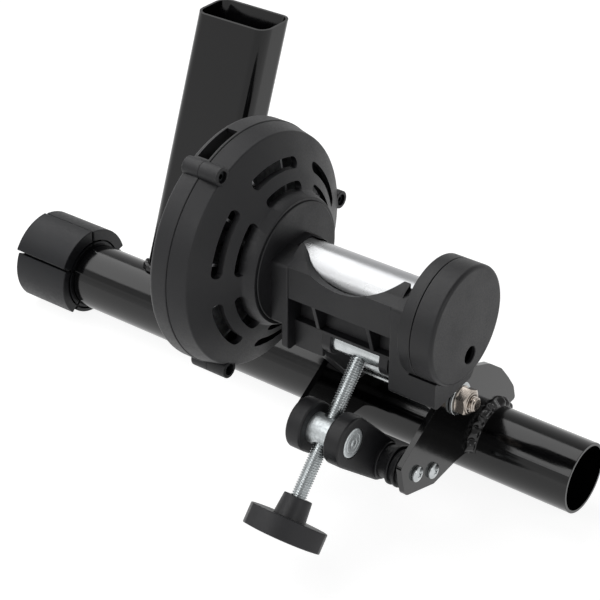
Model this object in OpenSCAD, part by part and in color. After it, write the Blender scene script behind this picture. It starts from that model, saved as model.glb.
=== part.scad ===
// Resistance unit of an indoor bicycle trainer on its crossbar.
// Millimetres. Origin on the crossbar axis below the middle of the roller.
// +X runs along the crossbar, +Y points forward to the tyre, +Z is up.

/* [Crossbar] */
// outer diameter of the crossbar tube
bar_od = 38.1; // [34:0.1:42]
// wall of the crossbar tube
bar_wall = 1.6; // [1.2:0.1:3]
// how far the tube runs to the left of the origin
bar_left = 270.2; // [262:0.2:340]
// how far the tube runs to the right of the origin
bar_right = 98; // [70:1:240]

/* [Upright] */
// width of the flat upright tube along the crossbar
up_w = 50; // [40:1:56]
// thickness of the upright tube
up_t = 24.4; // [18:0.2:28]
// wall of the upright tube
up_wall = 1.5; // [1.2:0.1:2.5]
// middle of the upright, measured to the left of the origin
up_x = 170.6; // [150:1:195]
// forward lean of the upright in degrees
up_lean = 20.6; // [12:0.5:24]
// height at which the back face of the upright crosses the middle of the crossbar
up_seat = 19.6; // [17:0.1:22]
// height of the cut top of the upright
up_top = 160; // [90:1:320]
// height of the weld bead round the foot of the upright
up_bead = 3; // [2:0.5:4]

/* [Levelling foot] */
// diameter over the highest step of the turning foot cap
foot_od = 57.2; // [54:0.2:62]
// length of the foot cap
foot_len = 38.2; // [30:0.2:46]
// how far the crossbar reaches into the foot cap
foot_grip = 34.7; // [24:0.1:36]
// drop in radius from one step of the cap to the next
foot_step = 2.5; // [1:0.1:2.6]
// width of the grooves between the steps in degrees
foot_slot = 3; // [1.5:0.5:5]

/* [Bracket] */
// plate thickness of the bracket
plate_t = 3; // [2.5:0.1:4]
// clear width between the two bracket plates
br_gap = 63; // [62:0.5:66]
// middle of the bracket to the right of the origin
br_x = 6.4; // [6:0.1:7]
// leg of the weld fillet between plate and crossbar
weld_leg = 4; // [3:0.5:5]

/* [Tilt pivot] */
// tilt pivot behind the crossbar axis
piv_y = 31.6; // [30:0.1:33]
// tilt pivot above the crossbar axis
piv_z = 42.7; // [42:0.1:44]
// diameter of the pivot bolt
piv_d = 8; // [6:0.5:9]
// diameter of the washers of the pivot bolt
washer_d = 17.5; // [16:0.5:18]
// thickness of a washer
washer_t = 1.6; // [1:0.1:2]
// width across the flats of the nuts and the bolt head
nut_af = 13; // [11:0.5:14]
// height of the bolt head
head_h = 5.3; // [4:0.1:6]
// height of the flange nut
nut_h = 6.5; // [5:0.5:8]
// threads of the pivot bolt that stand past the nut
bolt_past = 3.2; // [2:0.2:8]

/* [Screw fork] */
// threaded cross pin behind the crossbar axis
low_y = 94.1; // [93:0.1:95.5]
// threaded cross pin above the crossbar axis
low_z = 42.4; // [41.5:0.1:43.5]
// lower fork screw behind the crossbar axis
s1_y = 67.1; // [66:0.1:68]
// lower fork screw above the crossbar axis
s1_z = 17.1; // [16.5:0.1:18]
// second fork screw behind the crossbar axis
s2_y = 52.7; // [52:0.1:54]
// second fork screw above the crossbar axis
s2_z = 10.5; // [10:0.1:11.5]
// width over the two fork arms
fork_w = 31.6; // [28:0.2:34]
// thickness of one fork arm
arm_t = 9; // [6:0.1:10]
// radius of the fork arm round the cross pin
arm_r = 13.2; // [11.5:0.1:14]
// diameter of the threaded cross pin
low_d = 16; // [14:0.2:17]
// diameter of the fork screws
fs_d = 5; // [4:0.5:6]

/* [Adjusting screw] */
// thread diameter of the adjusting screw
scr_d = 8; // [7:0.5:9]
// clearance round the screw in the threaded cross pin
scr_play = 0.6; // [0.55:0.05:0.8]
// distance from lower to upper cross pin
pin_gap = 44; // [43.5:0.1:44.5]
// length of the screw below the threaded cross pin, to the knob collar
scr_low = 34.1; // [30:0.5:45]
// diameter of the upper cross pin
dow_d = 12; // [10:0.5:12.5]
// length of the upper cross pin
dow_len = 38.8; // [36:0.2:42]
// thickness of the two yoke ears that hold the upper cross pin
ear_t = 5.2; // [4:0.2:6]
// diameter of the turned journal at the screw's end
jour_d = 5; // [4:0.5:5.5]

/* [Knob] */
// diameter over the three corners of the knob
knob_d = 43.4; // [40:0.2:50]
// distance from the knob axis to the middle of a side
knob_side = 19.1; // [16:0.1:20]
// thickness of the knob rim
knob_t = 9.6; // [7:0.2:12]
// height of the knob collar
knob_neck = 10.7; // [8:0.1:14]
// diameter of the knob collar at its top
neck_d = 14.6; // [12.6:0.2:16]

/* [Roller] */
// roller axis behind the crossbar axis
ax_y = 57; // [56:0.1:58]
// roller axis above the crossbar axis
ax_z = 103.85; // [103:0.1:106]
// roller diameter
rol_d = 28.2; // [26:0.2:30]
// roller length
rol_len = 71.4; // [69:0.2:72]
// shaft diameter
sh_d = 8; // [7:0.5:9]

/* [Yoke] */
// inner width of the yoke between its two blocks
yoke_gap = 59.6; // [58:0.2:62]
// thickness of the guard round the roller
guard_t = 3; // [2.4:0.1:3.4]
// gap between roller and guard
guard_gap = 0.8; // [0.5:0.1:1.2]
// radius of the tyre scoop in the guard
scoop_r = 36; // [32:0.5:44]
// slope of the tyre scoop in degrees
scoop_a = 23; // [18:1:28]
// thickness of a yoke leg
leg_t = 8; // [6:0.5:9]
// radius of the legs round the pivot
leg_r = 11; // [9:0.5:12]
// how far the lip lies in front of the roller axis
lip_f = 15; // [14.5:0.1:15.5]
// how far the lip lies below the roller axis
lip_h = 22.2; // [21.8:0.1:22.6]
// thickness of the lip
lip_t = 1.6; // [1.2:0.1:1.8]
// wall of the yoke ears round the upper cross pin
ear_w = 2; // [1.5:0.1:2.8]
// thickness of the guard ribs
rib_t = 2.2; // [1.6:0.2:3]

/* [Fan housing] */
// wall of both housing shells
shell_t = 2.4; // [2:0.1:3]
// outer radius of the housing rim
rim_r = 63.5; // [62:0.1:66]
// how far the corner of the front shell lies inside the rim radius
cor_in = 2.8; // [2:0.1:4.5]
// depth of the rim of the front shell
rim_w = 10.4; // [8:0.2:12]
// radius of the raised hub of the front shell
hub_r = 31.4; // [30:0.1:33]
// depth of the housing from hub face to back
hous_d = 39.1; // [38:0.1:44]
// middle radius of the outer row of slots
slot_o = 47; // [46:0.1:48]
// middle radius of the inner row of slots
slot_i = 36.6; // [36:0.1:37.4]
// width of a cooling slot
slot_w = 5.4; // [4.4:0.2:6]
// number of slots in each row
slot_n = 6; // [5:1:7]
// width of an intake window in the back shell
win_w = 12; // [8:0.5:13]
// how far the housing screws stand inside the rim radius
boss_in = 0.5; // [0:0.1:1.5]
// diameter of a screw boss
boss_d = 9.6; // [8.6:0.2:11]

/* [Fan wheel] */
// number of fan blades
blade_n = 12; // [8:1:14]
// how far the fan wheel ends inside the rim radius
fan_in = 9.5; // [7:0.5:14]
// thickness of a fan blade
blade_t = 1.4; // [1:0.1:2]

/* [End cap] */
// outer radius of the end cap
cap_r = 30; // [29.4:0.1:31]
// depth of the end cap
cap_t = 12; // [11.8:0.2:14]
// wall of the end cap
cap_wall = 2; // [1.8:0.1:2]
// diameter of the access hole in the end cap
cap_hole = 9; // [7:0.5:10]
// thickness of the flywheel
fly_t = 5.2; // [4:0.2:5.4]

/* [Bearings] */
// outer diameter of the ball bearings
brg_od = 22; // [20:0.5:24]
// width of the ball bearings
brg_w = 6.2; // [5:0.2:7]

/* [Hidden] */
$fn = 64;
e = 0.01;
seat = 0.15;
gap = 0.3;
run = 0.05;
bar_r = bar_od / 2;
up_c = -up_x;
P = [-piv_y, piv_z];
S1 = [-s1_y, s1_z];
S2 = [-s2_y, s2_z];
L = [-low_y, low_z];
A = [-ax_y, ax_z];
// direction of the adjusting screw, from the lower to the upper cross pin
SD = [0.6645, 0.7473];
U = L + SD * pin_gap;
scr_a = atan2(SD[0], SD[1]);
pr1 = br_x + br_gap / 2 + plate_t;
pr0 = br_x + br_gap / 2;
pl0 = br_x - br_gap / 2 - plate_t;
pl1 = br_x - br_gap / 2;
bush_r = 8.6;
fork0 = br_x - fork_w / 2;
fork1 = br_x + fork_w / 2;
yi = yoke_gap / 2;
gr_i = rol_d / 2 + guard_gap;
gr_o = gr_i + guard_t;
// planes of the yoke, measured from the roller axis
yf = A[0] - 20.9;
gf = yf + 0.7;
roof = A[1] + 9.7;
peak = A[1] + 13.6;
peak_y = A[0] - 6.8;
gb = A[1] - 7.5;
lip_y = A[0] - lip_f;
lip_z = A[1] - lip_h;
leg_y = A[0] - 12.4;
leg_z = A[1] - 24.8;
blk_b = A[1] - 38;
blk_w = A[1] - 24.8;
hub_x = -42.4;
lb0 = hub_x + gap;
rb1 = 56.5;
rol0 = -35.2;
rol1 = rol0 + rol_len;
brl0 = rol0 - gap - brg_w;
brr0 = rol1 + gap;
fl0 = 41.5;
fl1 = 47;
cap0 = fl1 + gap;
cap1 = cap0 + cap_t;
back_x = hub_x - hous_d;
part_x = -70.2;
cor_x = part_x + rim_w;
cor_r = rim_r - cor_in;
boss_c = rim_r - boss_in;
fan_r = rim_r - fan_in;
// directions of the screws between yoke and housing and between yoke and end cap
hub_a = [30, 150, 270];
cap_a = [-30, 25, 80];
// distance of the two flats of the upper cross pin from its axis
pin_flat = dow_d / 2 - 0.9;

// prism along X of a shape drawn in the Y Z plane
module xp(x0, x1) {
  translate([x0, 0, 0]) rotate([90, 0, 90]) linear_extrude(x1 - x0) children();
}

// round bar along X at a point of the Y Z plane
module xc(r, x0, x1, p) {
  translate([x0, p[0], p[1]]) rotate([0, 90, 0]) cylinder(r = r, h = x1 - x0);
}

// body of revolution about X at a point of the Y Z plane, drawn as radius and X
module xr(p, a = 360) {
  translate([0, p[0], p[1]]) rotate([0, 90, 0]) rotate_extrude(angle = a) children();
}

// outline round two circles
function cap2(p, r, q, s, n = 14) =
  let (f = atan2(q[1] - p[1], q[0] - p[0]), d = norm(q - p), b = acos((r - s) / d))
  concat([for (i = [0:n]) p + r * [cos(f + b + (360 - 2 * b) * i / n),
                                   sin(f + b + (360 - 2 * b) * i / n)]],
         [for (i = [0:n]) q + s * [cos(f - b + 2 * b * i / n), sin(f - b + 2 * b * i / n)]]);

// outline with each corner rounded by its own radius
function crn(a, p, b, r, n) =
  let (u = (a - p) / norm(a - p), v = (b - p) / norm(b - p), w = acos(u * v),
       c = p + (u + v) / norm(u + v) * r / sin(w / 2), s = p + u * r / tan(w / 2),
       t = p + v * r / tan(w / 2), g = atan2(s[1] - c[1], s[0] - c[0]),
       h = atan2(t[1] - c[1], t[0] - c[0]), k = h - g,
       m = k > 180 ? k - 360 : (k < -180 ? k + 360 : k))
  [for (i = [0:n]) c + r * [cos(g + m * i / n), sin(g + m * i / n)]];
function rnd(Q, n = 6) = [for (i = [0:len(Q) - 1])
  let (a = Q[(i + len(Q) - 1) % len(Q)], p = Q[i], b = Q[(i + 1) % len(Q)])
  for (v = p[2] > 0 ? crn([a[0], a[1]], [p[0], p[1]], [b[0], b[1]], p[2], n)
                    : [[p[0], p[1]]]) v];

// flat tube section of the upright, grown by g
module up_sec(g) {
  r = 7 + g;
  w = up_w / 2 + g;
  t = up_t / 2 + g;
  polygon(rnd([[-w, -t, r], [w, -t, r], [w, t, r], [-w, t, r]]));
}

// place a shape in the leaning frame of the upright, its back face over the bar axis
module up_place() {
  translate([up_c, up_t / 2 / cos(up_lean) - up_seat * tan(up_lean), 0]) rotate([-up_lean, 0, 0]) children();
}

module crossbar() {
  color("#17181a") difference() {
    xc(bar_r, -bar_left, bar_right, [0, 0]);
    xc(bar_r - bar_wall, -bar_left - 1, bar_right + 1, [0, 0]);
  }
}

module upright() {
  color("#17181a") difference() {
    up_place() difference() {
      linear_extrude(2 * up_top) up_sec(0);
      translate([0, 0, -1]) linear_extrude(2 * up_top + 2) up_sec(-up_wall);
    }
    xc(bar_r + seat, up_c - up_w, up_c + up_w, [0, 0]);
    translate([up_c - up_w, -up_top, up_top]) cube([2 * up_w, 4 * up_top, 4 * up_top]);
  }
}

module upright_weld() {
  color("#1b1c1e") difference() {
    intersection() {
      xc(bar_r + up_bead, up_c - up_w, up_c + up_w, [0, 0]);
      up_place() linear_extrude(up_top) up_sec(up_bead * 0.8);
    }
    xc(bar_r + seat / 2, up_c - up_w, up_c + up_w, [0, 0]);
    up_place() translate([0, 0, -5]) linear_extrude(up_top) up_sec(seat / 2);
  }
}

// one stepped sector of the foot cap between two angles
module sector(r, x0, x1, a0, a1) {
  intersection() {
    xc(r, x0, x1, [0, 0]);
    xp(x0 - 1, x1 + 1) polygon(concat([[0, 0]],
      [for (i = [0:4]) 3 * r * [cos(a0 + (a1 - a0) * i / 4), sin(a0 + (a1 - a0) * i / 4)]]));
  }
}

module foot_cap() {
  f1 = -bar_left + foot_grip;
  f0 = f1 - foot_len;
  r = foot_od / 2;
  k = foot_slot / 2;
  color("#202123") difference() {
    union() {
      sector(r - 0.3 * foot_step, f0, f1, 13.5 + k, 86.5 - k);
      sector(r, f0, f1, 86.5 + k, 150.5 - k);
      sector(r - foot_step, f0, f1, 150.5 + k, 223.5 - k);
      sector(r - 2 * foot_step, f0, f1, 223.5 + k, 298.5 - k);
      sector(r - 1.2 * foot_step, f0, f1, 298.5 + k, 373.5 - k);
      xc(r - 2 * foot_step - 1.2, f0 + 1, f1 - 1, [0, 0]);
    }
    xc(bar_r + run, -bar_left - gap, f1 + 1, [0, 0]);
    xc(bar_r - 4, f0 - 1, -bar_left, [0, 0]);
    // groove in the mouth
    ring([0, 0], bar_r + 2.5, bar_r + 1.4, f1 - 3, f1 + 1);
  }
}

// outline of one bracket plate in the Y Z plane
module plate_outline() {
  difference() {
    polygon(rnd([[P[0] - 8.2, P[1] + 11.2, 5], [S1[0] - 13.6, S1[1] + 10.6, 2.5],
      [S1[0] - 9.4, S1[1] - 8.4, 6], [S2[0] + 2.4, S2[1] - 9.6, 3], [P[0], 3.2, 3],
      [-bar_r - 1, 3, 0], [0, 0, 0], [bar_r - 1.6, 10.6, 0],
      [25.8, 11.2, 1.6], [23.2, 20.4, 9], [17, 29.2, 12], [9.6, 38.4, 12],
      [-3, 48, 14], [-16, 53.2, 16]]));
    circle(r = bar_r + seat);
    translate(P) circle(r = piv_d / 2 + run);
    translate(S1) circle(r = fs_d / 2 + run);
    translate(S2) circle(r = fs_d / 2 + run);
  }
}

module bracket_plate_right() {
  color("#121315") xp(pr0, pr1) plate_outline();
}

module bracket_plate_left() {
  color("#121315") xp(pl0, pl1) plate_outline();
}

// fillet bead between a plate and the crossbar
module bead(x, s) {
  intersection() {
    xr([0, 0]) polygon([[bar_r + seat / 2, x + s * seat / 2],
      [bar_r + weld_leg, x + s * seat / 2], [bar_r + seat / 2, x + s * weld_leg]]);
    xp(x - 10, x + 10) polygon([[0, 0], [60, 38], [60, 90], [-90, 90], [-90, 14]]);
  }
}

module bracket_welds() {
  color("#1b1c1e") union() {
    bead(pr1, 1);
    bead(pl0, -1);
  }
}

module hexx(af, x0, x1, p) {
  translate([x0, p[0], p[1]]) rotate([0, 90, 0]) cylinder(r = af / sqrt(3), h = x1 - x0,
    $fn = 6);
}

module pivot_bolt() {
  hx = pl0 - washer_t - 2 * seat;
  color("#b9b6ae") union() {
    hexx(nut_af, hx - head_h, hx, P);
    xc(piv_d / 2, hx - e, pr1 + washer_t + nut_h + bolt_past, P);
  }
}

module pivot_nut() {
  n0 = pr1 + washer_t + 2 * seat;
  color("#b9b6ae") difference() {
    union() {
      xc(washer_d / 2 - 0.6, n0, n0 + 1.4, P);
      hexx(nut_af, n0 + 1.4 - e, n0 + nut_h - 0.6, P);
      xc(5.6, n0 + nut_h - 0.6 - e, n0 + nut_h, P);
    }
    xc(piv_d / 2 + run, n0 - 1, n0 + nut_h + 1, P);
  }
}

module ring(p, r, b, x0, x1) {
  difference() {
    xc(r, x0, x1, p);
    xc(b, x0 - 1, x1 + 1, p);
  }
}

module pivot_washers() {
  color("#c4c2bb") union() {
    ring(P, washer_d / 2, piv_d / 2 + run, pr1 + seat, pr1 + seat + washer_t);
    ring(P, washer_d / 2, piv_d / 2 + run, pl0 - seat - washer_t, pl0 - seat);
  }
}

module pivot_sleeve() {
  color("#8d8f92") ring(P, piv_d / 2 + 2.4, piv_d / 2 + run, pl1 + gap + leg_t + gap,
    pr0 - gap - leg_t - gap);
}

module screw_fork() {
  color("#1e1f21") difference() {
    union() {
      xp(fork0, fork0 + arm_t) polygon(cap2(L, arm_r, S1, bush_r + 2.4));
      xp(fork1 - arm_t, fork1) polygon(cap2(L, arm_r, S1, bush_r + 2.4));
      xp(pl1 + seat, pr0 - seat) polygon(cap2(S1, bush_r, S2, bush_r - 1));
      xc(bush_r + 1.2, fork0 - 1.4, fork1 + 1.4, S1);
    }
    xc(low_d / 2 + run, fork0 - 2, fork1 + 2, L);
    for (s = [S1, S2]) {
      xc(fs_d / 2 - 0.45, pl1, pl1 + 13, s);
      xc(fs_d / 2 - 0.45, pr0 - 13, pr0, s);
    }
  }
}

// one fork screw whose head lies on the plate face at x, pointing along s
module fork_screw(p, x, s) {
  translate([x, p[0], p[1]]) rotate([0, s > 0 ? 90 : -90, 0]) difference() {
    union() {
      translate([0, 0, seat]) cylinder(r = fs_d / 2 + 1.6, h = 1.4);
      translate([0, 0, seat + 1.4 - e]) cylinder(r1 = fs_d / 2 + 1.6, r2 = fs_d / 2 - 0.1,
        h = 1);
      translate([0, 0, -plate_t - 9]) cylinder(r = fs_d / 2 - 0.5, h = plate_t + 9.5);
    }
    for (a = [0, 90]) rotate([0, 0, a]) translate([-1.9, -0.45, 1]) cube([3.8, 0.9, 3]);
  }
}

module fork_screws() {
  color("#c9cacb") union() {
    fork_screw(S1, pr1, 1);
    fork_screw(S2, pr1, 1);
    fork_screw(S1, pl0, -1);
    fork_screw(S2, pl0, -1);
  }
}

// frame of the adjusting screw, origin at the upper cross pin, Z up the screw
module along() {
  translate([br_x, U[0], U[1]]) rotate([-scr_a, 0, 0]) children();
}

module threaded_cross_pin() {
  color("#b4b6b8") difference() {
    xc(low_d / 2, fork0, fork1, L);
    along() translate([0, 0, -pin_gap - 20]) cylinder(r = scr_d / 2 + scr_play, h = 40);
  }
}

module adjusting_screw() {
  color("#c2c4c6") along() difference() {
    union() {
      translate([0, 0, -pin_gap - scr_low - 6]) cylinder(r = scr_d / 2,
        h = pin_gap + scr_low + 6 - pin_flat - gap);
      translate([0, 0, -pin_flat - gap - e]) cylinder(r = jour_d / 2, h = 2 * pin_flat + 3.4);
    }
    difference() {
      translate([0, 0, pin_flat + 0.25]) cylinder(r = jour_d, h = 1.1);
      translate([0, 0, pin_flat]) cylinder(r = jour_d / 2 - 0.7, h = 3);
    }
  }
}

module screw_clip() {
  color("#5c5f63") along() translate([0, 0, pin_flat + 0.3]) difference() {
    cylinder(r = jour_d / 2 + 2, h = 1);
    translate([0, 0, -1]) cylinder(r = jour_d / 2 - 0.65, h = 3);
    translate([0, -1.3, -1]) cube([12, 2.6, 3]);
  }
}

module upper_cross_pin() {
  color("#b4b6b8") difference() {
    xc(dow_d / 2, br_x - dow_len / 2, br_x + dow_len / 2, U);
    along() {
      translate([0, 0, -dow_d]) cylinder(r = jour_d / 2 + run, h = 2 * dow_d);
      translate([0, 0, -pin_flat - dow_d]) cylinder(r = scr_d / 2 + 1.2, h = dow_d);
      translate([0, 0, pin_flat]) cylinder(r = jour_d / 2 + 2.6, h = dow_d);
    }
  }
}

module mirror_at(s) {
  translate([br_x, 0, 0]) mirror([s, 0, 0]) translate([-br_x, 0, 0]) children();
}

// one bulging side of the knob in the direction a, from the height b down
module knob_edge(a, b) {
  r = knob_d / 2;
  sag = knob_side - r * cos(60);
  side_r = (pow(r * sin(60), 2) + sag * sag) / (2 * sag);
  rotate([0, 0, a]) translate([knob_side - side_r, 0, b - knob_t - 4])
    cylinder(r = side_r, h = knob_t + 4);
}

module knob() {
  b = -pin_gap - scr_low;
  r = knob_d / 2 + 1;
  color("#1c1d1f") along() difference() {
    union() {
      translate([0, 0, b - knob_neck - e]) cylinder(r1 = neck_d / 2 + 1.1, r2 = neck_d / 2,
        h = knob_neck + e);
      intersection() {
        translate([0, 0, b - knob_neck]) rotate_extrude() polygon(concat([[0, 0], [r, 0],
          [r, -knob_t]],
          [for (i = [1:8]) [r * cos(11.25 * i), -knob_t - 1.8 * sin(11.25 * i)]]));
        knob_edge(60, b - knob_neck);
        knob_edge(180, b - knob_neck);
        knob_edge(300, b - knob_neck);
      }
    }
    translate([0, 0, b - 6 - seat]) cylinder(r = scr_d / 2 + run, h = 30);
  }
}

// side view of a yoke block down to the height b
module block(b) {
  polygon(rnd([[yf, b, 3], [yf, roof, 2], [peak_y, peak, 2], [A[0] + 8, peak, 4],
    [A[0] + 19, A[1] + 2, 6], [A[0] + 19, A[1] - 18, 5], [A[0] + 11, b + 3, 4]]));
}

module leg() {
  polygon([[leg_y, leg_z], [leg_y, leg_z - 11],
    P + leg_r * [-0.785, -0.619], P + leg_r * [0.785, 0.619], [A[0] + 10, leg_z - 3],
    [A[0] + 10, leg_z + 7], [A[0], leg_z + 7]]);
  translate(P) circle(r = leg_r);
}

module circle_a(r) {
  translate(A) circle(r = r);
}

// blocks on both sides of the roller and the round flanges that meet housing and cap
module yoke_blocks() {
  intersection() {
    xp(lb0, -yi) block(blk_w);
    translate([0, A[0] + 60, 0]) rotate([90, 0, 0]) linear_extrude(120)
      polygon([[-yi + 1, 0], [lb0, 0], [lb0, A[1] - 6], [lb0 + 2.2, A[1] + 30],
        [-yi + 1, A[1] + 30]]);
  }
  xp(-yi - 3.9, -yi) block(blk_b);
  xp(yi, fl0 + e) block(blk_b);
  xc(hub_r - 0.4, lb0, lb0 + 2.2, A);
  xc(cap_r, fl0, fl1, A);
  difference() {
    xp(fl0, rb1) intersection() {
      block(blk_b);
      translate([yf - 1, blk_b - 1]) square([50, A[1] - cap_r - blk_b + 8]);
    }
    xc(cap_r + seat, fl1, rb1 + 1, A);
  }
}

// guard in front of and below the roller, with its lip, ribs and web
module yoke_guard() {
  xp(-yi - e, yi + e) difference() {
    union() {
      circle_a(gr_o);
      polygon([[gf, gb], [gf, roof], [peak_y, peak], [peak_y, A[1]], [A[0] - gr_i - 1, gb]]);
    }
    translate(A) polygon([[0, 0], [-6.8, 0], [-6.8, 60], [90, 60], [90, -60], [12, -60],
      [12, -18]]);
  }
  xp(-yi - e, yi + e) polygon([[lip_y, lip_z - lip_t], [lip_y, lip_z], [lip_y + 4.6, lip_z],
    [A[0] - 9, A[1] - gr_o + 3], [A[0] + 9, A[1] - gr_o + 3], [A[0] + 9, lip_z - lip_t]]);
  for (x = [-15.6, 16.2]) xp(x - rib_t / 2, x + rib_t / 2) polygon([[gf + 0.4, gb + 1],
    [lip_y, lip_z - e], [A[0] - 4, lip_z], [A[0] - 4, A[1] - gr_i - 1], [A[0] - gr_i, gb + 1]]);
  xp(-yi - e, br_x - dow_len / 2 + e) polygon([[lip_y + 0.3, lip_z - 1],
    [lip_y + 0.3, blk_b + 0.4], [lip_y + 2.7, blk_b + 0.4], [lip_y + 2.7, lip_z - 1]]);
}

// legs to the tilt pivot and ears round the upper cross pin
module yoke_legs() {
  xp(pl1 + gap, pl1 + gap + leg_t) leg();
  xp(pr0 - gap - leg_t, pr0 - gap) leg();
  for (s = [0, 1]) mirror_at(s)
    xp(br_x - dow_len / 2, br_x - dow_len / 2 + ear_t) {
      translate(U) circle(r = dow_d / 2 + ear_w);
      polygon([[U[0] - dow_d / 2 - ear_w, U[1]], [lip_y, lip_z - 1], [A[0] + 4, lip_z - 1],
        [U[0] + dow_d / 2 + ear_w, U[1]]]);
    }
}

module yoke() {
  color("#232427") difference() {
    union() {
      yoke_blocks();
      yoke_guard();
      yoke_legs();
    }
    // roller bay and bearing seats
    xc(gr_i, rol0 - gap / 2, rol1 + gap / 2, A);
    xc(brg_od / 2 + run, brl0 - 1, rol1 + gap + brg_w, A);
    xc(brg_od / 2 - 3, lb0 - 1, fl1 + 1, A);
    // tyre scoop in the guard
    translate([-1, yf, A[1] + 6.2]) rotate([-90 - scoop_a, 0, 0])
      translate([0, -scoop_r, -30]) cylinder(r = scoop_r, h = 50);
    // bores of the ears and room for the upper cross pin between them
    xc(dow_d / 2 + run, br_x - dow_len / 2 - gap, br_x + dow_len / 2 + gap, U);
    xc(dow_d / 2 + 0.8, br_x - dow_len / 2 + ear_t, br_x + dow_len / 2 - ear_t, U);
    along() translate([-8, -jour_d / 2 - 3.4, 0]) cube([16, 14.9, dow_d / 2 + 6]);
    // pivot bore
    xc(piv_d / 2 + run, pl1, pr0, P);
    // screw holes for the housing and the end cap
    for (a = hub_a) rot_a(a) xc(1.7, lb0 - 1, lb0 + 6, A + [15.5, 0]);
    for (a = cap_a) rot_a(a) {
      xc(1.5, fl0 - 1, fl1 + 1, A + [cap_r - 4, 0]);
      xc(2.7 + gap, fl0 - 6, fl0, A + [cap_r - 4, 0]);
    }
  }
}

module rot_a(a) {
  translate([0, A[0], A[1]]) rotate([a, 0, 0]) translate([0, -A[0], -A[1]]) children();
}

module roller() {
  color("#dfe1e3") difference() {
    union() {
      xc(rol_d / 2, rol0 + 0.8, rol1 - 0.8, A);
      translate([rol0, A[0], A[1]]) rotate([0, 90, 0]) cylinder(r1 = rol_d / 2 - 0.8,
        r2 = rol_d / 2, h = 0.81);
      translate([rol1 - 0.81, A[0], A[1]]) rotate([0, 90, 0]) cylinder(r1 = rol_d / 2,
        r2 = rol_d / 2 - 0.8, h = 0.81);
    }
    xc(sh_d / 2 + 0.02, rol0 - 1, rol1 + 1, A);
  }
}

module shaft() {
  color("#a9abad") xc(sh_d / 2, back_x + 3, cap1 - cap_wall - 0.7, A);
}

module bearing(x) {
  difference() {
    xc(brg_od / 2, x, x + brg_w, A);
    xc(sh_d / 2 + run, x - 1, x + brg_w + 1, A);
    ring(A, brg_od / 2 - 2, sh_d / 2 + 2, x - 1, x + 0.5);
    ring(A, brg_od / 2 - 2, sh_d / 2 + 2, x + brg_w - 0.5, x + brg_w + 1);
  }
}

module bearing_left() {
  color("#8b8d90") bearing(brl0);
}

module bearing_right() {
  color("#8b8d90") bearing(brr0);
}

// outer and inner line of the front shell, radius against X
module front_profile() {
  polygon([[9, hub_x], [hub_r, hub_x], [hub_r + 1.6, hub_x - 1.6], [slot_i, -47.5],
    [slot_o, -52.9], [cor_r - 2, cor_x + 1.2], [cor_r, cor_x], [cor_r + 1, cor_x - 2],
    [rim_r - 0.4, part_x], [rim_r - 0.4 - shell_t, part_x], [cor_r - shell_t + 0.6, cor_x - 2.4],
    [cor_r - shell_t - 0.6, cor_x - 1.6], [slot_o - 1, -52.9 - shell_t - 0.3],
    [slot_i - 1.4, -47.5 - shell_t - 0.5], [hub_r - 1, hub_x - shell_t - 1],
    [hub_r - 3, hub_x - shell_t], [9, hub_x - shell_t]]);
}

// outline of a curved slot with round ends, r its middle radius, w its width, a its angle
function band(r, w, a, c, n = 9, m = 6) = concat(
  [for (i = [0:n]) A + (r + w / 2) * dir(c - a / 2 + a * i / n)],
  [for (i = [1:m - 1]) A + r * dir(c + a / 2) + w / 2 * dir(c + a / 2 + 180 * i / m)],
  [for (i = [n:-1:0]) A + (r - w / 2) * dir(c - a / 2 + a * i / n)],
  [for (i = [1:m - 1]) A + r * dir(c - a / 2) + w / 2 * dir(c - a / 2 + 180 + 180 * i / m)]);
function dir(t) = [cos(t), sin(t)];

// ring of n curved slots cut along X
module slots(n, r, w, a, x0, x1, a0) {
  for (i = [0:n - 1]) xp(x0, x1) polygon(band(r, w, a, a0 + 360 * i / n));
}

module housing_front() {
  color("#26282b") difference() {
    union() {
      xr(A) front_profile();
      for (a = [0:2]) rot_a(121 + 120 * a) xc(boss_d / 2, part_x, cor_x + 0.8, A + [boss_c, 0]);
    }
    slots(slot_n, slot_o, slot_w, 36, -62, -46, 30);
    slots(slot_n, slot_i, slot_w - 0.6, 35, -58, -42.5, 30);
    for (a = [0:2]) rot_a(121 + 120 * a) {
      xc(1.6, part_x - 1, cor_x + 2, A + [boss_c, 0]);
      xc(3.1, cor_x - 2.6, cor_x + 2, A + [boss_c, 0]);
    }
    for (a = hub_a) rot_a(a) xc(1.7, hub_x - 4, hub_x + 1, A + [15.5, 0]);
  }
}

module back_profile() {
  b = back_x;
  p = part_x - seat;
  polygon([[14, b], [rim_r - 3, b], [rim_r - 0.9, b + 1.2], [rim_r, b + 3.4], [rim_r, p],
    [rim_r - shell_t, p], [rim_r - shell_t, b + shell_t + 1], [rim_r - shell_t - 1, b + shell_t],
    [14, b + shell_t]]);
}

module housing_back() {
  color("#26282b") difference() {
    union() {
      xr(A) back_profile();
      xc(15, back_x, back_x + shell_t, A);
      for (a = [0:2]) rot_a(121 + 120 * a) xc(boss_d / 2, back_x + 1, part_x - seat,
        A + [boss_c, 0]);
    }
    // outlet windows in the rim
    for (a = [-15, 45, 105]) rot_a(a + 90 - 10.5) xr(A, 21)
      translate([rim_r - shell_t - 3, back_x + shell_t + 0.8])
        square([shell_t + 10, part_x - back_x - shell_t - 2.3]);
    // intake windows in the back wall
    slots(6, (rim_r - shell_t + hub_r - 12) / 2, win_w, 36, back_x - 1, back_x + shell_t + 1, 0);
    for (a = [0:2]) rot_a(121 + 120 * a) xc(1.3, part_x - 9, part_x, A + [boss_c, 0]);
  }
}

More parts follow.
